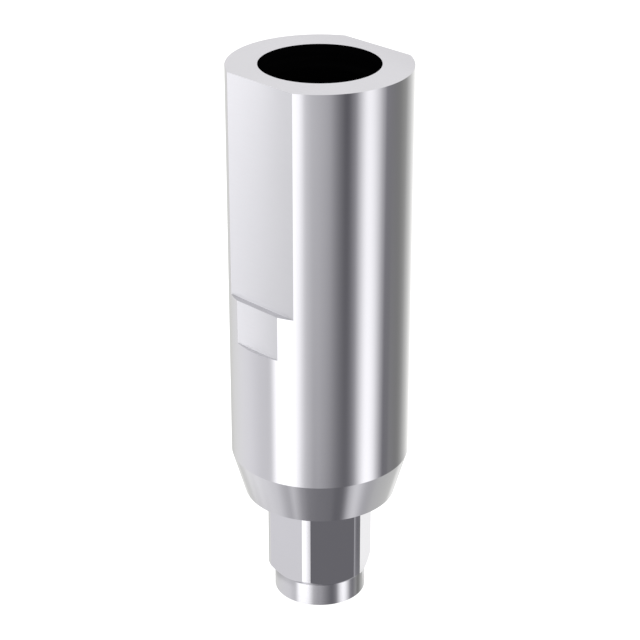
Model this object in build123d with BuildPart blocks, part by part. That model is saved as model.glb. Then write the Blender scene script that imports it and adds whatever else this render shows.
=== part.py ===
from build123d import *
import math
import os

# Scan body for an internal hexagon implant connection, with its fixing screw.
# Millimetres. Origin at the centre of the pilot's end face, +Z up the post, main scan flat facing -Y.

# ---- post, outside ----
body_r = 2.225           # scan cylinder, 4.45 across
total_h = 14.14          # pilot end to top face
taper_top_z = 4.05       # where the taper meets the scan cylinder
seat_z = 2.93            # shoulder that lands on the implant
seat_r = 1.90            # its outer edge, 3.80 across
hex_af = 2.42            # connection hexagon, across flats
hex_corner_r = 1.338     # turned radius left on the hexagon's corners
pilot_r = 1.16           # round pilot below the hexagon
pilot_h = 0.59           # its free height; a 45 degree lead cone joins it to the hexagon's corners
edge_break = 0.010       # deburred outer edges

# ---- scan flats ----
flat_y = 1.95            # distance of both main flats from the axis
flat_z = 8.53            # height of the ledge where they end
key_y = 2.115            # distance of the small locating flat from the axis
key_bottom_z = 7.405     # height of its lower ledge

# ---- post, inside ----
access_r = 1.445         # driver access bore
access_break = 0.015     # deburred edge at its mouth
access_bottom_z = 8.545  # where it begins to narrow to the head bore
head_bore_r = 1.20       # guides the screw head
head_bore_top_z = 8.30
collar_r = 0.61          # minor radius of the M1.6 retaining thread
collar_top_z = 3.46      # foot of the 45 degree screw seat
collar_bottom_z = 2.62
chamber_r = 0.88         # clears the screw thread inside the hexagon
mouth_break = 0.05       # lead chamfer at the pilot end

# ---- retaining screw, pushed up so that its tip is level with the pilot end ----
travel = 2.40            # from there down to the seat
seat_gap = 0.028         # left open above the cone at the end of the travel
thread_r = 0.80          # M1.6 major radius
thread_top_z = 2.20      # top of the full thread
tip_chamfer = 0.16
neck_r = 0.56            # shank that slides through the collar
head_r = 1.12
head_top_z = 8.10
head_chamfer = 0.08
socket_af = 1.25         # driver hexagon, across flats
socket_depth = 1.10
socket_lead = 0.06       # chamfer at the socket mouth

# ---- derived ----
hex_lead_z = pilot_h + (hex_corner_r - pilot_r)
seat_top_z = collar_top_z + (head_bore_r - collar_r)
head_cone_z = collar_top_z + seat_gap + travel + (neck_r - collar_r)   # neck meets the head cone
head_side_z = head_cone_z + (head_r - neck_r)                          # cone meets the head's side
socket_corner_r = socket_af / 2 / math.cos(math.pi / 6)

os.makedirs("parts", exist_ok=True)


# Post: a turned blank, a hexagon and three flats milled on it, and one stepped bore right through.
with BuildPart() as scan_body:
    with BuildSketch(Plane.XZ) as blank_profile:
        with BuildLine():
            Polyline(
                (0, 0),
                (pilot_r - edge_break, 0),
                (pilot_r, edge_break),
                (pilot_r, pilot_h),
                (hex_corner_r, hex_lead_z),
                (hex_corner_r, seat_z),
                (seat_r, seat_z),
                (body_r, taper_top_z),
                (body_r, total_h),
                (0, total_h),
                close=True,
            )
        make_face()
    revolve(axis=Axis.Z)

    # Six hexagon flats, one of them facing -Y, in line with the scan flat.
    with BuildSketch(Plane.XY) as hex_waste:
        Circle(hex_corner_r + 0.2)
        RegularPolygon(hex_af / 2, 6, major_radius=False, mode=Mode.SUBTRACT)
    extrude(amount=seat_z, mode=Mode.SUBTRACT)

    # The two parallel main flats, from the ledge to the top face.
    with BuildSketch(Plane.XY.offset(flat_z)) as main_flats:
        with Locations((0, -(flat_y + 0.5)), (0, flat_y + 0.5)):
            Rectangle(2 * body_r + 1, 1.0)
    extrude(amount=total_h - flat_z + 0.5, mode=Mode.SUBTRACT)

    # The small locating flat, stepped out below the front flat.
    with BuildSketch(Plane.XY.offset(key_bottom_z)) as key_flat:
        with Locations((0, -(key_y + 0.5))):
            Rectangle(2 * body_r + 1, 1.0)
    extrude(amount=flat_z - key_bottom_z + 0.01, mode=Mode.SUBTRACT)

    # Deburred top rim.
    rim = scan_body.faces().filter_by(Plane.XY).sort_by(Axis.Z)[-1].outer_wire().edges()
    chamfer(rim, length=edge_break)

    # Stepped bore: thread chamber, retaining collar, conical screw seat, head bore, driver access.
    with BuildSketch(Plane.XZ) as bore_profile:
        with BuildLine():
            Polyline(
                (0, -0.5),
                (chamber_r + mouth_break, -0.5),
                (chamber_r + mouth_break, 0),
                (chamber_r, mouth_break),
                (chamber_r, collar_bottom_z - (chamber_r - collar_r)),
                (collar_r, collar_bottom_z),
                (collar_r, collar_top_z),
                (head_bore_r, seat_top_z),
                (head_bore_r, head_bore_top_z),
                (access_r, access_bottom_z),
                (access_r, total_h - access_break),
                (access_r + access_break, total_h),
                (access_r + access_break, total_h + 0.5),
                (0, total_h + 0.5),
                close=True,
            )
        make_face()
    revolve(axis=Axis.Z, mode=Mode.SUBTRACT)

scan_body.part.label = "scan_body"
export_step(scan_body.part, "parts/scan_body.step")


# Screw: threaded end, sliding neck, conical head with a driver hexagon.
with BuildPart() as retaining_screw:
    with BuildSketch(Plane.XZ) as screw_profile:
        with BuildLine():
            Polyline(
                (0, 0),
                (thread_r - tip_chamfer, 0),
                (thread_r, tip_chamfer),
                (thread_r, thread_top_z),
                (neck_r, thread_top_z + (thread_r - neck_r)),
                (neck_r, head_cone_z),
                (head_r, head_side_z),
                (head_r, head_top_z - head_chamfer),
                (head_r - head_chamfer, head_top_z),
                (0, head_top_z),
                close=True,
            )
        make_face()
    revolve(axis=Axis.Z)

    # Driver hexagon with a drilled foot and a turned lead at its mouth.
    with BuildSketch(Plane.XY.offset(head_top_z)) as socket_outline:
        RegularPolygon(socket_af / 2, 6, major_radius=False)
    extrude(amount=-socket_depth, mode=Mode.SUBTRACT)
    with BuildSketch(Plane.XZ) as socket_turning:
        with BuildLine():
            Polyline(
                (0, head_top_z - socket_depth - 0.30),
                (socket_af / 2 - 0.02, head_top_z - socket_depth - 0.02),
                (socket_af / 2 - 0.02, head_top_z - socket_lead),
                (socket_af / 2 - 0.02, head_top_z + 0.10),
                (0, head_top_z + 0.10),
                close=True,
            )
        make_face()
    revolve(axis=Axis.Z, mode=Mode.SUBTRACT)
    with BuildSketch(Plane.XZ) as socket_mouth:
        with BuildLine():
            Polyline(
                (0, head_top_z - socket_corner_r - socket_lead),
                (socket_corner_r + socket_lead, head_top_z),
                (socket_corner_r + socket_lead, head_top_z + 0.10),
                (0, head_top_z + 0.10),
                close=True,
            )
        make_face()
    revolve(axis=Axis.Z, mode=Mode.SUBTRACT)

retaining_screw.part.label = "retaining_screw"
export_step(retaining_screw.part, "parts/retaining_screw.step")
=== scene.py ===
import math

import bmesh
import bpy
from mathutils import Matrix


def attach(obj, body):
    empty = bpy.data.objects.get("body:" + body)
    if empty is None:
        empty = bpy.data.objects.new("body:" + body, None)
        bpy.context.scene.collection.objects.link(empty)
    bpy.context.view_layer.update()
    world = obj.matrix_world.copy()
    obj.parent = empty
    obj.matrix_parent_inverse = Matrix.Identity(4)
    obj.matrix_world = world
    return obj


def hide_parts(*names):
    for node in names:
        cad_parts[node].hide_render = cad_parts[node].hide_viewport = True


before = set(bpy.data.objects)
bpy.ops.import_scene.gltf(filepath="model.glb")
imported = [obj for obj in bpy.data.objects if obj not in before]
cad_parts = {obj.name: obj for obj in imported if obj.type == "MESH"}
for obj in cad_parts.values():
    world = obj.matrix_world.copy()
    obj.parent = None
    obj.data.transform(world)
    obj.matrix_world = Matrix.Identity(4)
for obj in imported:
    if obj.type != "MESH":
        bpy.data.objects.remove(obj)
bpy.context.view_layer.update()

MM = 0.001
scene = bpy.context.scene

# ------------------------------------------------------------------ camera
# Row frame, metres. The camera stands 45 degrees round from the front scan flat, towards +X, and looks 25.3 degrees down.
CAM_AZIMUTH, CAM_PITCH = 45.0, 25.278
CAM_DISTANCE, CAM_HEIGHT = 46.519, 29.505

cam_data = bpy.data.cameras.new("camera")
cam_data.sensor_width = 36.0
cam_data.lens = 117.69
cam_data.clip_start, cam_data.clip_end = 0.001, 5.0
camera = bpy.data.objects.new("camera", cam_data)
scene.collection.objects.link(camera)
a = math.radians(CAM_AZIMUTH)
camera.location = (CAM_DISTANCE * math.sin(a) * MM, -CAM_DISTANCE * math.cos(a) * MM, CAM_HEIGHT * MM)
camera.rotation_euler = (math.radians(90 - CAM_PITCH), 0, a - 0.00006)
scene.camera = camera
scene.view_settings.view_transform = "Standard"
scene.view_settings.look = "None"


# ------------------------------------------------------------------ node helpers
def linear(level):
    """Linear light of a display grey, 0 to 255."""
    v = level / 255
    return v / 12.92 if v <= 0.04045 else ((v + 0.055) / 1.055) ** 2.4


class Nodes:
    """A small builder for one node tree."""

    def __init__(self, tree):
        self.tree = tree
        tree.nodes.clear()

    def add(self, kind, inputs=None, **settings):
        node = self.tree.nodes.new(kind)
        for key, value in settings.items():
            setattr(node, key, value)
        for key, value in (inputs or {}).items():
            if isinstance(value, bpy.types.NodeSocket):
                self.tree.links.new(value, node.inputs[key])
            else:
                node.inputs[key].default_value = value
        return node

    def math(self, op, x, y=0.0, z=0.0, clamp=False):
        return self.add("ShaderNodeMath", {0: x, 1: y, 2: z}, operation=op, use_clamp=clamp).outputs[0]

    def smooth(self, x, low, high, out_low=0.0, out_high=1.0):
        """Smooth step of x from low to high."""
        node = self.add(
            "ShaderNodeMapRange",
            {"Value": x, "From Min": low, "From Max": high, "To Min": out_low, "To Max": out_high},
            interpolation_type="SMOOTHSTEP",
        )
        return node.outputs["Result"]

    def mix(self, t, x, y):
        node = self.add("ShaderNodeMix", {0: t, 6: x, 7: y}, data_type="RGBA")
        return node.outputs[2]

    def ramp(self, t, stops, interpolation="EASE"):
        """Colour ramp through (position, colour) stops."""
        node = self.add("ShaderNodeValToRGB", {"Fac": t})
        elements = node.color_ramp.elements
        node.color_ramp.interpolation = interpolation
        while len(elements) > 1:
            elements.remove(elements[-1])
        elements[0].position = stops[0][0]
        elements[0].color = stops[0][1]
        for position, colour in stops[1:]:
            elements.new(position).color = colour
        return node.outputs["Color"]


# ------------------------------------------------------------------ studio light
# A round of soft boxes, strips and dark flags about the object, named by their azimuth from the camera's side in
# degrees, positive to the right. The metal shows them as upright bands.
# Levels are greys as a polished wall shows them, 0 to 255, in steps of 5. METAL is the share of light that it sends
# back.
METAL = 0.80
HIGH = [
    # broad pale wall behind and to the left
    (-178, 225), (-162, 205), (-118, 215), (-75, 195), (-66, 200),
    # left strip light, with a hard edge on its outer side
    (-55, 265), (-25, 250),
    # falls off into the room behind the camera
    (-18, 205), (-12, 185), (13, 155),
    # dark flag right of the camera
    (28, 100), (38, 105), (47, 165),
    # right strip light
    (61, 240), (78, 195),
    # wide dark flag on the right
    (87, 140), (90, 120), (117, 125),
    # soft box behind on the right
    (134, 170), (163, 240),
]
EYE = [
    (-180, 210), (-166, 190), (-143, 210), (-105, 210), (-66, 200),     # pale wall
    (-56, 265), (-33, 265),                                             # left strip light
    (-23, 205), (-10, 160), (1, 150),                                   # the room
    (33, 100), (46, 165),                                               # dark flag
    (57, 245), (68, 250), (76, 205),                                    # right strip light
    (86, 125), (94, 105), (100, 120),                                   # wide dark flag
    (127, 145), (170, 250),                                             # soft box
]
FOOT = [
    (-180, 205), (-84, 200), (-71, 190), (-64, 205),                    # pale wall
    (-55, 260), (-30, 260),                                             # left strip light
    (-18, 195), (-8, 165), (4, 150),                                    # the room
    (20, 115), (35, 105), (45, 155),                                    # dark flag
    (54, 230), (67, 245), (82, 160),                                    # right strip light
    (92, 115), (106, 135), (116, 115),                                  # wide dark flag
    (129, 160), (168, 210),                                             # soft box
]
LOW = [
    # what lies lower than 34 degrees below the horizon
    (-179, 235), (-162, 220), (-154, 200), (-128, 210), (-81, 195),     # pale wall
    (-61, 165), (-50, 180), (-38, 150),                                 # foot of the left strip light
    (-23, 120), (23, 105), (36, 95), (46, 110),                         # dark floor in front
    (53, 150), (61, 185), (71, 195), (86, 165),                         # foot of the right strip light
    (104, 170), (143, 190),                                             # grey wall on the right
    (151, 220), (180, 240),                                             # soft box
]
# The taper's foot looks lower into the room than its top does, and finds the edges of the lights dimmer there.
# MIDDLE is the height that the middle of the taper looks at, and GRADE the change of light from there to either edge.
MIDDLE = [
    (0, -62.7), (20, -62.3), (40, -60.9), (60, -58.6), (80, -55.4), (100, -51.3), (120, -46.3), (140, -40.7),
    (160, -34.8), (180, -29.0),
]
GRADE = [
    (-150, 0.0), (-137, 0.06), (-108, 0.06), (-88, 0.01), (-77, 0.03), (-60, 0.03), (-42, 0.10), (-28, 0.08),
    (-10, 0.03), (4, 0.0), (42, 0.0), (50, 0.09), (60, 0.07), (76, 0.0),
]
# a small soft box low behind on the right, at the height that only the connection's flats mirror, half as cool as
# the lights in front
LAMP_AZIMUTH, LAMP_LEVEL, LAMP_TINT = 150.0, 235, 103

world = bpy.data.worlds.new("studio")
scene.world = world
world.use_nodes = True
n = Nodes(world.node_tree)
direction = n.add("ShaderNodeTexCoord").outputs["Generated"]
axis = n.add("ShaderNodeSeparateXYZ", {0: direction})
azimuth = n.math("ARCTAN2", axis.outputs["X"], n.math("MULTIPLY", axis.outputs["Y"], -1.0))
turn = n.math("FRACT", n.math("ADD", n.math("DIVIDE", azimuth, 2 * math.pi), 1.5 - CAM_AZIMUTH / 360))
elevation = n.math("MULTIPLY", n.math("ARCSINE", axis.outputs["Z"]), 180 / math.pi)


def tint(angle, level):
    """Light of a grey level. The lights in front are a little cooler than those at the far sides and behind."""
    v = linear(level) / METAL
    near = 1 - min(1, max(0, (angle - 92) / 22, (-angle - 117) / 30))
    return v * (1 + near * 2.0 / level), v, v * (1 - 0.022 + near * 12 / level)


PEAK = linear(270) / METAL


def shaded(angle, level):
    return tuple(v / PEAK for v in tint(angle, level)) + (1,)


def band(stops):
    return n.ramp(turn, [((angle + 180) / 360, shaded(angle, level)) for angle, level in stops], "CARDINAL")


def grey(v):
    return (v, v, v, 1)


away = n.math("MULTIPLY", n.math("ABSOLUTE", n.math("SUBTRACT", turn, 0.5)), 2.0)
middle = n.ramp(away, [(angle / 180, grey(-height / 100)) for angle, height in MIDDLE], "CARDINAL")
above = n.math("DIVIDE", n.math("MULTIPLY_ADD", middle, 100.0, elevation), 0.42)
above = n.math("MULTIPLY", above, n.smooth(n.math("ABSOLUTE", above), 4.0, 1.5))
grade = n.ramp(turn, [((angle + 180) / 360, grey(5 * share)) for angle, share in GRADE], "CARDINAL")
grade = n.math("MULTIPLY_ADD", n.math("MULTIPLY", grade, above), 0.2, 1.0)
low = n.add("ShaderNodeVectorMath", {0: band(LOW), "Scale": grade}, operation="SCALE").outputs[0]
lit = n.mix(n.smooth(elevation, -33.9, -33.3), low, band(FOOT))
lit = n.mix(n.smooth(elevation, -32.1, -31.5), lit, band(EYE))
across = n.math("ABSOLUTE", n.math("SUBTRACT", turn, (LAMP_AZIMUTH + 180) / 360))
lamp = n.math("MULTIPLY", n.smooth(across, 10 / 360, 5 / 360), n.smooth(elevation, -29.4, -29.9))
lamp = n.math("MULTIPLY", lamp, n.smooth(elevation, -32.3, -32.1))
lit = n.mix(lamp, lit, shaded(LAMP_TINT, LAMP_LEVEL))
# bright table top in front on the left, mirrored only from under the hexagon
ahead = n.math("MULTIPLY", n.smooth(turn, 115 / 360, 130 / 360), n.smooth(turn, 192 / 360, 184 / 360))
table = n.math("MULTIPLY", ahead, n.math("MULTIPLY", n.smooth(elevation, -57, -55), n.smooth(elevation, -37, -40)))
lit = n.mix(table, lit, shaded(0, 230))
lift = n.add("ShaderNodeMapRange", {"Value": elevation, "From Min": -33, "From Max": -19})
high = band(HIGH)
lit = n.mix(n.math("MULTIPLY", lift.outputs[0], n.smooth(elevation, -30.5, -29.2)), lit, high)
lit = n.mix(n.smooth(elevation, 2, 15), lit, shaded(100, 218))
path = n.add("ShaderNodeLightPath")
reflected = n.add("ShaderNodeBackground", {"Color": lit, "Strength": PEAK})
even = n.add("ShaderNodeBackground", {"Color": (1, 1, 1, 1), "Strength": 1.4})
backdrop = n.add("ShaderNodeBackground", {"Color": (1, 1, 1, 1), "Strength": 1.0})
shade = n.add("ShaderNodeMixShader", {0: path.outputs["Is Diffuse Ray"], 1: reflected.outputs[0], 2: even.outputs[0]})
shade = n.add("ShaderNodeMixShader", {0: path.outputs["Is Camera Ray"], 1: shade.outputs[0], 2: backdrop.outputs[0]})
n.add("ShaderNodeOutputWorld", {"Surface": shade.outputs[0]})


# ------------------------------------------------------------------ materials
def metal_material(name, base, roughness, marks, pitch, groove, tint_marks, metallic=1.0, fall=None, edge=0.95):
    """Machined titanium. marks is turned (rings about Z), faced (rings on a flat end), or milled (lines along X).
    pitch is the tool mark spacing and groove its height, both in metres. fall gives painted light and shade, a slow
    change of tone over the surface, and edge the reflectance left at a grazing view."""
    mat = bpy.data.materials.new(name)
    mat.use_nodes = True
    m = Nodes(mat.node_tree)
    place = m.add("ShaderNodeTexCoord").outputs["Object"]
    xyz = m.add("ShaderNodeSeparateXYZ", {0: place})
    x, y, z = xyz.outputs
    if marks == "faced":
        across = m.math("SQRT", m.math("ADD", m.math("MULTIPLY", x, x), m.math("MULTIPLY", y, y)))
        along = m.math("ARCTAN2", x, y)
        along = m.math("MULTIPLY", m.math("SINE", along), 0.0004)
    elif marks == "turned":
        across, along = z, m.math("MULTIPLY", x, 0.02)
    else:
        across, along = z, m.math("MULTIPLY", x, 0.05)
    # Fine tool marks: noise drawn out along the cut and tight across it.
    drawn = m.add("ShaderNodeCombineXYZ", {0: along, 1: 0.0, 2: across}).outputs[0]
    fine = m.add("ShaderNodeTexNoise", {"Vector": drawn, "Scale": 1 / pitch, "Detail": 3.0, "Roughness": 0.6}).outputs[0]
    broad = m.add("ShaderNodeTexNoise", {"Vector": drawn, "Scale": 0.11 / pitch, "Detail": 2.0}).outputs[0]
    # Cloudy change of polish, a millimetre or so across.
    cloud = m.add("ShaderNodeTexNoise", {"Vector": place, "Scale": 900.0, "Detail": 2.0}).outputs[0]

    shade_of = m.math("MULTIPLY_ADD", fine, tint_marks, 1 - tint_marks / 2)
    shade_of = m.math("MULTIPLY", shade_of, m.math("MULTIPLY_ADD", cloud, 0.02, 0.99))
    if fall:
        shade_of = m.math("MULTIPLY", shade_of, fall(m, x, y, z))
    colour = m.add("ShaderNodeMix", {0: 1.0, 6: (*base, 1), 7: shade_of}, data_type="RGBA", blend_type="MULTIPLY")
    rough = m.math("MULTIPLY_ADD", fine, roughness * 0.30, roughness * 0.85)
    rough = m.math("ADD", rough, m.math("MULTIPLY_ADD", broad, roughness * 0.20, -roughness * 0.10))
    bump = m.add("ShaderNodeBump", {"Strength": 1.0, "Distance": groove, "Height": fine})
    surface = m.add(
        "ShaderNodeBsdfPrincipled",
        {
            "Base Color": colour.outputs[2],
            "Metallic": metallic,
            "Roughness": rough,
            "Specular Tint": (edge, edge, edge, 1),
            "Normal": bump.outputs[0],
        },
    )
    m.add("ShaderNodeOutputMaterial", {"Surface": surface.outputs[0]})
    return mat


def flat_painted_light(m, x, y, z):
    """Painted light and shade: the scan flats' colour is brighter to the left and towards the top, darker to the right,
    and brightest just above each ledge, against the shade in the corner there.
    """
    main = m.math("GREATER_THAN", z, 0.008529)
    side = m.smooth(x, -0.00135, 0.00135, 1.09, 0.845)
    height = m.math("DIVIDE", m.math("SUBTRACT", z, 0.00853), 0.00561, clamp=True)
    rise = m.math("MULTIPLY", m.math("POWER", height, 1.6), 0.125)
    rise = m.math("MULTIPLY_ADD", m.math("POWER", height, 12.0), 0.01, rise)
    up = m.math("MULTIPLY_ADD", rise, m.smooth(x, -0.0001, 0.0009, 1.0, 0.45), 0.868)
    right = m.smooth(x, -0.0002, 0.0007, 0.941, 0.877)
    tone = m.math("MULTIPLY", side, m.math("ADD", m.math("MULTIPLY", main, up), m.math("MULTIPLY", m.math("SUBTRACT", 1.0, main), right)))
    # painted light in a narrow band just above each ledge
    foot = m.math("MULTIPLY_ADD", main, 0.001125, 0.007405)
    reach = m.math("MULTIPLY_ADD", main, 0.00005, 0.000055)
    width = m.math("MULTIPLY_ADD", main, 0.00038, 0.00062)
    inside = m.math("SUBTRACT", 1.0, m.math("POWER", m.math("DIVIDE", m.math("ABSOLUTE", x), width), 4.0), clamp=True)
    corner = m.math("EXPONENT", m.math("DIVIDE", m.math("SUBTRACT", foot, z), reach))
    return m.math("MULTIPLY", tone, m.math("MULTIPLY_ADD", m.math("MULTIPLY", corner, inside), 0.48, 1.0))


def top_painted_shade(m, x, y, z):
    """Painted shade: the top face's colour is a little darker towards the back."""
    return m.smooth(y, 0.0007, 0.0018, 0.984, 0.940)


def ledge_painted_light(m, x, y, z):
    """Painted light: the ledges' colour is a little brighter to the right."""
    return m.smooth(x, -0.0003, 0.0009, 1.0, 1.16)


def pilot_painted_shade(m, x, y, z):
    """Painted shade: the pilot's colour is darker just under the hexagon, on the scan flat's side, where the hexagon's
    overhang shades it.
    """
    low = m.math("LESS_THAN", z, 0.00062)
    facing = m.math("ADD", m.math("MULTIPLY", x, -0.643 / 0.00116), m.math("MULTIPLY", y, -0.766 / 0.00116))
    reach = m.smooth(facing, 0.86, 1.0, 0.00014, 0.00025)
    below = m.math("DIVIDE", m.math("MINIMUM", m.math("SUBTRACT", z, 0.00059), 0.0), reach)
    near = m.math("EXPONENT", m.math("MULTIPLY", m.math("MULTIPLY", below, below), below))
    depth = m.math("MULTIPLY", m.smooth(facing, 0.55, 0.72), m.smooth(facing, 0.75, 1.0, -0.155, -0.36))
    return m.math("MULTIPLY_ADD", m.math("MULTIPLY", low, near), depth, 1.0)


def painted_shade_bore_material(name):
    """Painted shade: the reamed bore's titanium wall is coloured near black, standing in for the dark inside the deep
    hole.
    """
    mat = bpy.data.materials.new(name)
    mat.use_nodes = True
    m = Nodes(mat.node_tree)
    place = m.add("ShaderNodeTexCoord").outputs["Object"]
    stretch = m.add("ShaderNodeVectorMath", {0: place, 1: (300, 300, 9000)}, operation="MULTIPLY").outputs[0]
    rings = m.add("ShaderNodeTexNoise", {"Vector": stretch, "Scale": 1.0, "Detail": 3.0}).outputs[0]
    colour = m.ramp(rings, [(0.3, (0.0006, 0.0006, 0.0007, 1)), (0.7, (0.0016, 0.0016, 0.0018, 1))], "LINEAR")
    bump = m.add("ShaderNodeBump", {"Strength": 0.6, "Distance": 1e-6, "Height": rings})
    surface = m.add(
        "ShaderNodeBsdfPrincipled",
        {"Base Color": colour, "Metallic": 0.0, "Roughness": 0.9, "Specular IOR Level": 0.0, "Normal": bump.outputs[0]},
    )
    m.add("ShaderNodeOutputMaterial", {"Surface": surface.outputs[0]})
    return mat


TITANIUM = (0.802, 0.800, 0.818)
# the fall functions paint light and shade into the colours of these materials
polished = metal_material("titanium_turned", TITANIUM, 0.085, "turned", 22e-6, 0.10e-6, 0.03, fall=pilot_painted_shade)
faced = metal_material("titanium_faced", (0.805, 0.805, 0.822), 0.17, "faced", 26e-6, 0.20e-6, 0.04)
top = metal_material("titanium_top", (0.800, 0.795, 0.819), 0.17, "faced", 26e-6, 0.20e-6, 0.04, fall=top_painted_shade)
# painted shade: the ledges are a darker copy of the faced titanium, for the shade of the step under each flat wall
ledge = metal_material("titanium_ledge_painted_shade", (0.60, 0.598, 0.612), 0.22, "faced", 26e-6, 0.20e-6, 0.05, fall=ledge_painted_light)
milled = metal_material("scan_flat_satin", (0.722, 0.719, 0.749), 0.42, "milled", 30e-6, 0.25e-6, 0.05, 0.35, flat_painted_light)
hexagon = metal_material("titanium_hexagon", TITANIUM, 0.075, "milled", 26e-6, 0.08e-6, 0.03)
bore = painted_shade_bore_material("bore_painted_shade")
screw_turned = metal_material("screw_turned", (0.70, 0.70, 0.72), 0.22, "turned", 24e-6, 0.25e-6, 0.05)
screw_faced = metal_material("screw_faced", (0.70, 0.70, 0.72), 0.24, "faced", 26e-6, 0.25e-6, 0.05)


# ------------------------------------------------------------------ meshes
def turning_angles(step, marks):
    """Every step degrees round the axis, with the marked angles exact and no other angle crowding them."""
    marks = sorted({round(m % 360, 6) for m in marks})
    found = list(marks)
    for i in range(int(round(360 / step))):
        t = i * step
        if all(min((t - m) % 360, (m - t) % 360) > 0.35 * step for m in marks):
            found.append(t)
    return sorted(found)


def at(theta, r, z):
    t = math.radians(theta)
    return (r * math.sin(t) * MM, -r * math.cos(t) * MM, z * MM)


def signed(theta, centre):
    """theta as an angle from centre, -180 to 180."""
    return (theta - centre + 180) % 360 - 180


def skin(name, rings, strips, closed, materials, sharp_deg):
    """A closed mesh from rings of points, low to high along the path, with a material for each strip between rings.
    A ring of one point closes an end. strips[i](theta) is the material index of the strip after ring i."""
    bm = bmesh.new()
    made = [[bm.verts.new(p) for p in ring] for ring in rings]
    pairs = list(zip(range(len(made) - 1), range(1, len(made))))
    if closed:
        pairs.append((len(made) - 1, 0))
    count = max(len(r) for r in made)
    for strip, (i, j) in enumerate(pairs):
        low_ring, high_ring = made[i], made[j]
        for k in range(count):
            m = (k + 1) % count
            corners = []
            for v in (
                low_ring[k % len(low_ring)] if len(low_ring) > 1 else low_ring[0],
                low_ring[m] if len(low_ring) > 1 else low_ring[0],
                high_ring[m] if len(high_ring) > 1 else high_ring[0],
                high_ring[k] if len(high_ring) > 1 else high_ring[0],
            ):
                if v not in corners:
                    corners.append(v)
            if len(corners) > 2:
                face = bm.faces.new(corners)
                face.material_index = strips[strip](k)
                face.smooth = True
    bmesh.ops.remove_doubles(bm, verts=bm.verts, dist=1e-8)
    bmesh.ops.dissolve_degenerate(bm, dist=1e-8, edges=bm.edges)
    bmesh.ops.recalc_face_normals(bm, faces=bm.faces)
    bm.normal_update()
    limit = math.radians(sharp_deg)
    for edge in bm.edges:
        if len(edge.link_faces) == 2:
            edge.smooth = edge.calc_face_angle(0) < limit
        else:
            raise RuntimeError(f"{name} has an open edge")
    mesh = bpy.data.meshes.new(name)
    bm.to_mesh(mesh)
    bm.free()
    for material in materials:
        mesh.materials.append(material)
    obj = bpy.data.objects.new(name, mesh)
    scene.collection.objects.link(obj)
    return obj


# ---- post
BODY_R, FLAT_Y, KEY_Y = 2.225, 1.95, 2.115
PILOT_R, PILOT_H, SEAT_R = 1.16, 0.59, 1.90
HEX_HALF, HEX_CORNER = 1.21, 1.338
SPAN_FLAT = math.degrees(math.acos(FLAT_Y / BODY_R))
SPAN_KEY = math.degrees(math.acos(KEY_Y / BODY_R))
SPAN_HEX = math.degrees(math.acos(HEX_HALF / HEX_CORNER))
BREAK = 0.010
TOP_Z, LEDGE_Z, KEY_Z = 14.14, 8.53, 7.405
SPAN_TOP = math.degrees(math.acos((FLAT_Y - BREAK) / (BODY_R - BREAK)))

marks = [-SPAN_KEY, SPAN_KEY, -SPAN_FLAT, SPAN_FLAT, 180 - SPAN_FLAT, 180 + SPAN_FLAT]
marks += [60 * k + s * SPAN_HEX for k in range(6) for s in (-1, 1)]
angles = turning_angles(0.75, marks)


def r_hex(t):
    off = signed(t, 60 * round(t / 60))
    return HEX_HALF / math.cos(math.radians(off)) if abs(off) < SPAN_HEX - 1e-6 else HEX_CORNER


def r_key(t):
    off = signed(t, 0)
    return KEY_Y / math.cos(math.radians(off)) if abs(off) < SPAN_KEY - 1e-6 else BODY_R


def flat_off(t):
    """Angle from the nearer main flat's middle."""
    front, rear = signed(t, 0), signed(t, 180)
    return front if abs(front) < abs(rear) else rear


def r_flat(t):
    off = flat_off(t)
    return FLAT_Y / math.cos(math.radians(off)) if abs(off) < SPAN_FLAT - 1e-6 else BODY_R


def top_point(t):
    """The rim inside the deburred edge, with its corners where the real offset has them."""
    off = flat_off(t)
    middle = t - off
    if abs(off) <= SPAN_FLAT + 1e-6:
        reach = math.tan(math.radians(off)) * (FLAT_Y - BREAK) * math.tan(math.radians(SPAN_TOP)) / math.tan(math.radians(SPAN_FLAT))
        c, s = math.cos(math.radians(middle)), math.sin(math.radians(middle))
        fx, fy = reach, -(FLAT_Y - BREAK)
        return ((fx * c - fy * s) * MM, (fx * s + fy * c) * MM, TOP_Z * MM)
    share = (90 - abs(off)) / (90 - SPAN_FLAT)
    new = math.copysign(90 - share * (90 - SPAN_TOP), off)
    return at(middle + new, BODY_R - BREAK, TOP_Z)


def ring(r, z):
    return [at(t, r(t) if callable(r) else r, z(t) if callable(z) else z) for t in angles]


TURNED, FACED, MILLED, HEXED, BORE, TOP, LEDGE = range(7)
mids = [(angles[k] + signed(angles[(k + 1) % len(angles)], angles[k]) / 2) % 360 for k in range(len(angles))]
same = lambda index: (lambda k: index)
on_hex = lambda k: HEXED if abs(signed(mids[k], 60 * round(mids[k] / 60))) < SPAN_HEX else TURNED
on_key = lambda k: MILLED if abs(signed(mids[k], 0)) < SPAN_KEY else TURNED
on_flat = lambda k: MILLED if abs(flat_off(mids[k])) < SPAN_FLAT else TURNED

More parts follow.
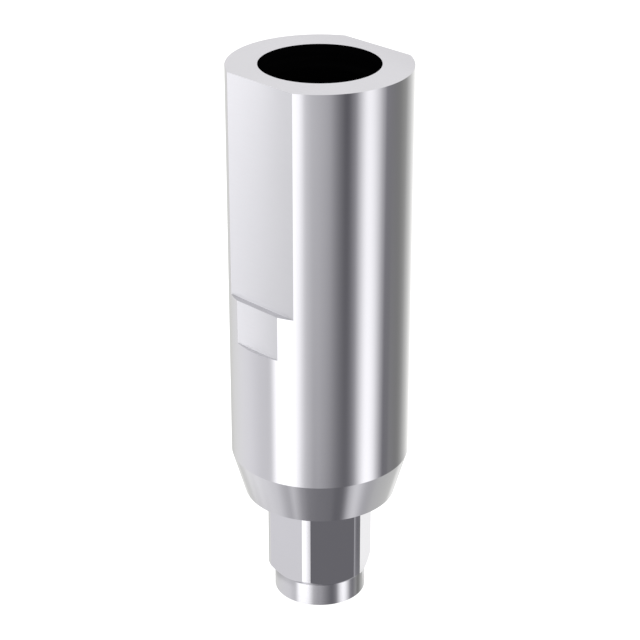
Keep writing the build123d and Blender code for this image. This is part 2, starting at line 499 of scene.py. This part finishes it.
path = [
    (ring(0.93, 0), same(FACED)),                          # pilot end
    (ring(PILOT_R - BREAK, 0), same(TURNED)),
    (ring(PILOT_R, BREAK), same(TURNED)),                  # pilot
    (ring(PILOT_R, PILOT_H), same(TURNED)),                # lead cone
    (ring(r_hex, lambda t: r_hex(t) - PILOT_R + PILOT_H), on_hex),     # hexagon
    (ring(r_hex, 2.93), same(FACED)),                      # shoulder
    (ring(SEAT_R, 2.93), same(TURNED)),                    # taper
    (ring(BODY_R, 4.05), same(TURNED)),                    # scan cylinder
    (ring(BODY_R, KEY_Z), same(LEDGE)),
    (ring(r_key, KEY_Z), on_key),                          # locating flat
    (ring(r_key, LEDGE_Z), same(LEDGE)),
    (ring(r_flat, LEDGE_Z), on_flat),                      # main flats
    (ring(r_flat, TOP_Z - BREAK), same(TURNED)),
    ([top_point(t) for t in angles], same(TOP)),           # top face
    (ring(1.46, TOP_Z), same(BORE)),                       # deburred mouth
    (ring(1.445, TOP_Z - 0.015), same(BORE)),              # driver access
    (ring(1.445, 8.545), same(BORE)),
    (ring(1.20, 8.30), same(BORE)),                        # head bore
    (ring(1.20, 4.05), same(BORE)),                        # screw seat
    (ring(0.61, 3.46), same(BORE)),                        # collar
    (ring(0.61, 2.62), same(BORE)),
    (ring(0.88, 2.35), same(BORE)),                        # thread chamber
    (ring(0.88, 0.05), same(TURNED)),
]
post = skin("scan_post", [p for p, _ in path], [s for _, s in path], True, [polished, faced, milled, hexagon, bore, top, ledge], 10)
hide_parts("scan_body")
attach(post, "scan_body")

# ---- screw: right-hand thread, 1.6 across and 0.35 pitch, sliding neck, conical head, driver hexagon
PITCH, DEPTH, ROWS = 0.35, 0.195, 28
SOCKET_HALF = 0.625
marks = [60 * k + 30 for k in range(6)]
angles = turning_angles(2.5, marks)


def thread_r(t, z):
    """Radius of the threaded end. The form fades in at the tip and out at the neck."""
    blank = min(0.64 + z, 0.80, 0.80 - max(0.0, z - 2.20))
    phase = (z / PITCH - t / 360) % 1
    u = abs(phase - 0.5)                 # 0.5 at a crest, 0 at a root
    u = min(1, max(0, (u - 0.10) / 0.33))
    form = u * u * (3 - 2 * u)
    ease = lambda v: max(0, min(1, v)) ** 2 * (3 - 2 * max(0, min(1, v)))
    fade = ease((z - 0.02) / 0.30) * ease((2.17 - z) / 0.30)
    return blank - DEPTH * (1 - form) * fade


def r_socket(t):
    return SOCKET_HALF / math.cos(math.radians(signed(t, 60 * round(t / 60))))


S_TURNED, S_FACED, S_SOCKET = range(3)
path = [([(0, 0, 0)], same(S_FACED))]
rows = int(round(2.44 / PITCH * ROWS))
heights = sorted({0.0, 0.16, 2.20, 2.44} | {round(2.44 * i / rows, 5) for i in range(rows + 1)})
for z in heights:
    path.append(([at(t, thread_r(t, z), z) for t in angles], same(S_TURNED)))
path += [
    (ring(0.56, 5.838), same(S_TURNED)),
    (ring(1.12, 6.398), same(S_TURNED)),
    (ring(1.12, 8.02), same(S_TURNED)),
    (ring(1.04, 8.10), same(S_FACED)),
    (ring(0.7817, 8.10), same(S_TURNED)),
    (ring(r_socket, lambda t: r_socket(t) + 7.3183), same(S_SOCKET)),
    (ring(r_socket, 7.0), same(S_FACED)),
    (ring(0.605, 7.0), same(S_TURNED)),
    (ring(0.605, 6.98), same(S_TURNED)),
    ([(0, 0, 6.70 * MM)], same(S_TURNED)),
]
screw = skin("fixing_screw", [p for p, _ in path], [s for _, s in path], False, [screw_turned, screw_faced, screw_turned], 24)
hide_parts("retaining_screw")
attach(screw, "retaining_screw")

# ------------------------------------------------------------------ floor
mesh = bpy.data.meshes.new("floor")
HALF = 0.6
UNDER = -0.000002      # a hair below the pilot's end, so that the two don't share a plane
mesh.from_pydata([(-HALF, -HALF, UNDER), (HALF, -HALF, UNDER), (HALF, HALF, UNDER), (-HALF, HALF, UNDER)], [], [(0, 1, 2, 3)])
floor = bpy.data.objects.new("floor", mesh)
scene.collection.objects.link(floor)
pale = bpy.data.materials.new("pale_floor")
pale.use_nodes = True
pale.node_tree.nodes["Principled BSDF"].inputs["Base Color"].default_value = (0.35, 0.35, 0.35, 1)
pale.node_tree.nodes["Principled BSDF"].inputs["Roughness"].default_value = 1.0
pale.node_tree.nodes["Principled BSDF"].inputs["Specular IOR Level"].default_value = 0.0
pale.node_tree.nodes["Principled BSDF"].inputs["Emission Color"].default_value = (1, 1, 1, 1)
pale.node_tree.nodes["Principled BSDF"].inputs["Emission Strength"].default_value = 0.85      # lit from below, like a light table
mesh.materials.append(pale)
floor.visible_glossy = False      # the metal mirrors the studio, not the bare floor
